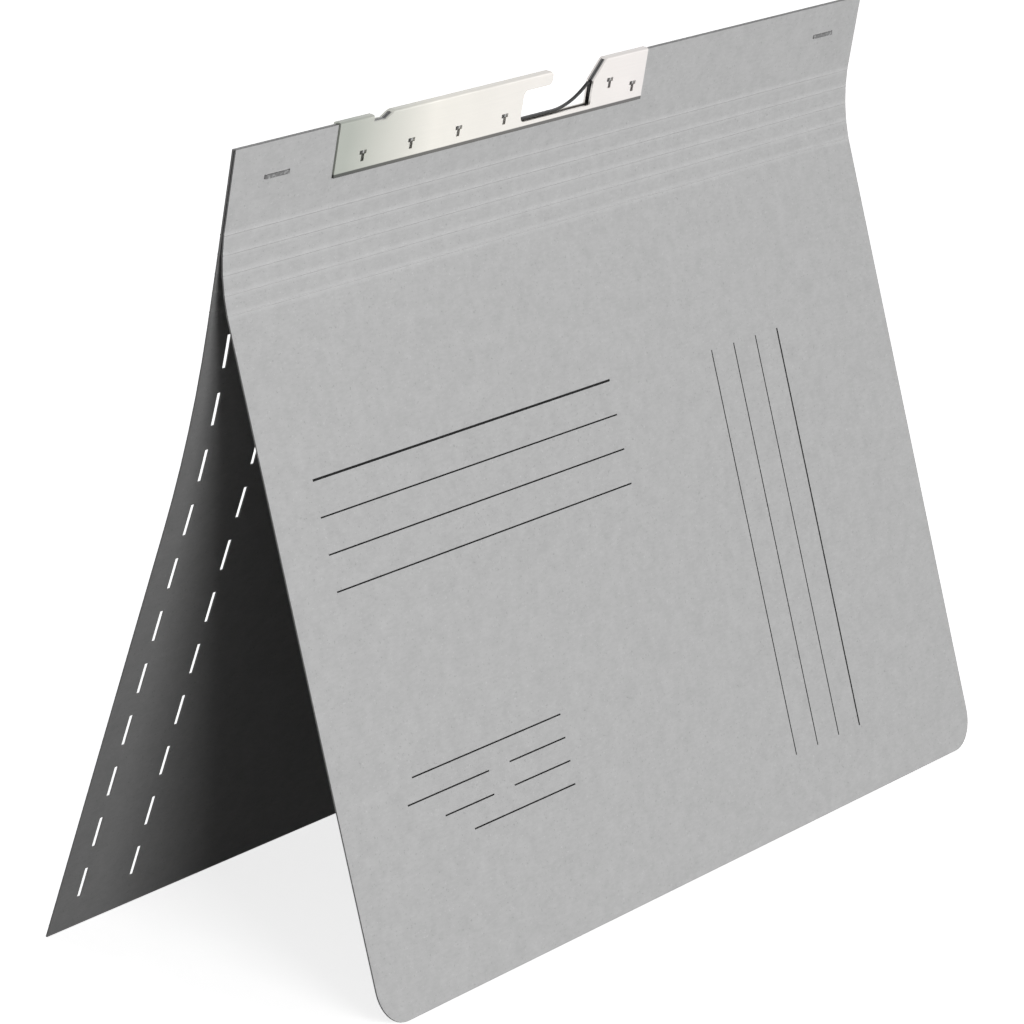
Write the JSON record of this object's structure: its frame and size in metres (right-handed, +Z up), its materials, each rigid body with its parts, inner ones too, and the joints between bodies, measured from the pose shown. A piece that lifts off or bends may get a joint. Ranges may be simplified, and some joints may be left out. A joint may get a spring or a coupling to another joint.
{
  "type": "hanging file folder",
  "caption": "Grey card hanging file folder with creased covers, a steel suspension rail with an open hook and catch, and side slits for index tabs.",
  "frame": {"origin": "middle of the footprint on the floor that the two open edges stand on", "axes": "+X along the rail, front cover towards -Y, +Z up"},
  "size_m": [0.318, 0.1164, 0.2322],
  "materials": {
    "card_front": "uncoated recycled grey card",
    "card_rear": "uncoated recycled grey card",
    "rail_steel": "bright nickel plate on thin steel strip",
    "catch_wire": "blackened spring strip",
    "staple_wire": "zinc-plated steel wire"
  },
  "bodies": {
    "head": {"front_head_strip": "card_front", "rear_head_strip": "card_rear", "suspension_rail": "rail_steel", "left_staple": "staple_wire", "right_staple": "staple_wire"},
    "catch": {"catch_spring": "catch_wire"},
    "front_fold_1": {"front_fold_strip_1": "card_front"},
    "front_fold_2": {"front_fold_strip_2": "card_front"},
    "front_fold_3": {"front_fold_strip_3": "card_front"},
    "front_fold_4": {"front_fold_strip_4": "card_front"},
    "front_cover": {"front_cover": "card_front"},
    "rear_fold_1": {"rear_fold_strip_1": "card_rear"},
    "rear_fold_2": {"rear_fold_strip_2": "card_rear"},
    "rear_fold_3": {"rear_fold_strip_3": "card_rear"},
    "rear_fold_4": {"rear_fold_strip_4": "card_rear"},
    "rear_cover": {"rear_cover": "card_rear"}
  },
  "joints": [
    {"name": "front_crease_1", "type": "hinge", "parent": "head", "child": "front_fold_1", "pos_m": [0, -0.00059, 0.20823], "axis": [-1, 0, 0], "range_deg": [-5.04, 30.96]},
    {"name": "front_crease_2", "type": "hinge", "parent": "front_fold_1", "child": "front_fold_2", "pos_m": [0, -0.00026, 0.20284], "axis": [-1, 0, 0], "range_deg": [-5.04, 30.96]},
    {"name": "front_crease_3", "type": "hinge", "parent": "front_fold_2", "child": "front_fold_3", "pos_m": [0, -0.0004, 0.19744], "axis": [-1, 0, 0], "range_deg": [-5.04, 30.96]},
    {"name": "front_crease_4", "type": "hinge", "parent": "front_fold_3", "child": "front_fold_4", "pos_m": [0, -0.00102, 0.19208], "axis": [-1, 0, 0], "range_deg": [-5.04, 30.96]},
    {"name": "front_crease_5", "type": "hinge", "parent": "front_fold_4", "child": "front_cover", "pos_m": [0, -0.00211, 0.18679], "axis": [-1, 0, 0], "range_deg": [-5.04, 30.96]},
    {"name": "rear_crease_1", "type": "hinge", "parent": "head", "child": "rear_fold_1", "pos_m": [0, 0.0003, 0.20836], "axis": [1, 0, 0], "range_deg": [-0.1, 35.9]},
    {"name": "rear_crease_2", "type": "hinge", "parent": "rear_fold_1", "child": "rear_fold_2", "pos_m": [0, 0.00112, 0.20303], "axis": [1, 0, 0], "range_deg": [-0.1, 35.9]},
    {"name": "rear_crease_3", "type": "hinge", "parent": "rear_fold_2", "child": "rear_fold_3", "pos_m": [0, 0.00194, 0.19769], "axis": [1, 0, 0], "range_deg": [-0.1, 35.9]},
    {"name": "rear_crease_4", "type": "hinge", "parent": "rear_fold_3", "child": "rear_fold_4", "pos_m": [0, 0.00277, 0.19235], "axis": [1, 0, 0], "range_deg": [-0.1, 35.9]},
    {"name": "rear_crease_5", "type": "hinge", "parent": "rear_fold_4", "child": "rear_cover", "pos_m": [0, 0.00361, 0.18702], "axis": [1, 0, 0], "range_deg": [-0.1, 35.9]},
    {"name": "catch_flex", "type": "hinge", "parent": "head", "child": "catch", "pos_m": [-0.0287, -0.00197, 0.22051], "axis": [0, 0.9889, 0.1485], "range_deg": [0, 1.8], "stiffness_Nm_per_rad": 0.01, "springref_deg": -5.73}
  ]
}
